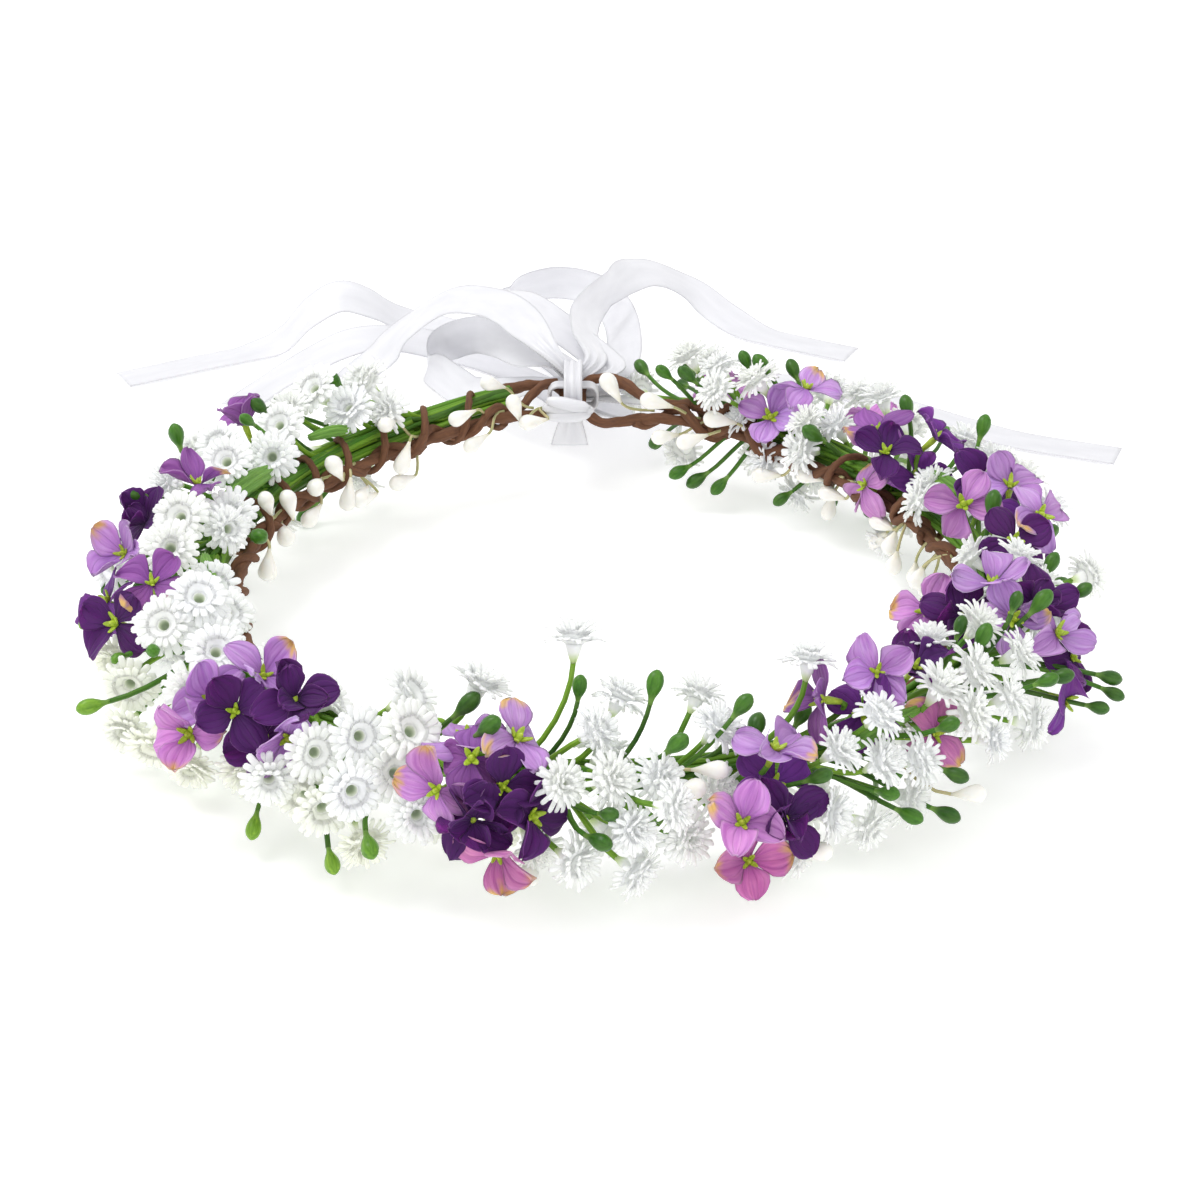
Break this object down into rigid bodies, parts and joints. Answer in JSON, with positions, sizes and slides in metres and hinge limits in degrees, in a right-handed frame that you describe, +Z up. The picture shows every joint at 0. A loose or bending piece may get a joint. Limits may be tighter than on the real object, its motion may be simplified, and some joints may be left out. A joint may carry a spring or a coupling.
{
  "type": "flower crown",
  "caption": "Open wire ring dressed with artificial gypsophila sprays, cloth hydrangea clusters and berry picks, adjusted and tied at the back with satin ribbon.",
  "frame": {"origin": "centre of the crown's base, on the surface it rests on, under the middle of the ring", "axes": "+Z up out of the ring's plane, -Y towards the front of the crown, +Y towards the ribbon tie at the back, +X to the right seen from the front"},
  "size_m": [0.3152, 0.3796, 0.0614],
  "materials": {
    "steel_wire": "drawn wire, satin",
    "brown_paper": "matte twisted crepe paper",
    "green_stem": "moulded, soft sheen",
    "green_bud": "moulded, slight gloss",
    "lime_calyx": "moulded, matte",
    "white_blossom": "moulded, soft matte",
    "hydrangea_cloth": "pressed polyester cloth, matte, lavender to dark purple",
    "cream_berry": "dipped, soft gloss",
    "satin_ribbon": "white satin"
  },
  "bodies": {
    "right_half": {"core_wire_right": "steel_wire", "paper_wrap_right": "brown_paper", "binding_wire_right": "brown_paper", "hydrangea_front_right": "hydrangea_cloth", "hydrangea_right_front": "hydrangea_cloth", "hydrangea_right": "hydrangea_cloth", "hydrangea_right_back": "hydrangea_cloth", "hydrangea_back_right": "hydrangea_cloth", "hydrangea_back": "hydrangea_cloth", "gypsophila_spray_right_1": "white_blossom", "gypsophila_spray_right_2": "white_blossom", "gypsophila_spray_right_3": "white_blossom", "gypsophila_spray_right_4": "white_blossom", "gypsophila_spray_right_5": "white_blossom", "gypsophila_spray_right_6": "white_blossom", "gypsophila_spray_right_7": "white_blossom", "gypsophila_spray_right_8": "white_blossom", "berry_pick_right_1": "cream_berry", "berry_pick_right_2": "cream_berry", "berry_pick_right_3": "cream_berry", "berry_pick_right_4": "cream_berry", "berry_pick_right_5": "cream_berry", "ribbon_knot": "satin_ribbon", "ribbon_wrap": "satin_ribbon", "ribbon_strap": "satin_ribbon", "ribbon_loop_left": "satin_ribbon", "ribbon_loop_back": "satin_ribbon", "ribbon_tail_arch": "satin_ribbon", "ribbon_tail_left": "satin_ribbon", "ribbon_tail_broad": "satin_ribbon", "ribbon_tail_mid": "satin_ribbon", "ribbon_tail_right": "satin_ribbon"},
    "left_half": {"core_wire_left": "steel_wire", "paper_wrap_left": "brown_paper", "binding_wire_left": "brown_paper", "hydrangea_back_left": "hydrangea_cloth", "hydrangea_left_upper": "hydrangea_cloth", "hydrangea_left": "hydrangea_cloth", "hydrangea_front_left": "hydrangea_cloth", "hydrangea_front": "hydrangea_cloth", "gypsophila_spray_left_1": "white_blossom", "gypsophila_spray_left_2": "white_blossom", "gypsophila_spray_left_3": "white_blossom", "gypsophila_spray_left_4": "white_blossom", "gypsophila_spray_left_5": "white_blossom", "gypsophila_spray_left_6": "white_blossom", "gypsophila_spray_left_7": "white_blossom", "gypsophila_spray_left_8": "white_blossom", "berry_pick_left_1": "cream_berry", "berry_pick_left_2": "cream_berry", "berry_pick_left_3": "cream_berry", "berry_pick_left_4": "cream_berry", "berry_pick_left_5": "cream_berry"}
  },
  "joints": [
    {"name": "back_opening", "type": "hinge", "parent": "right_half", "child": "left_half", "pos_m": [-0.0019, -0.0931, 0.023], "axis": [0, 0, 1], "range_deg": [0, 8]}
  ]
}
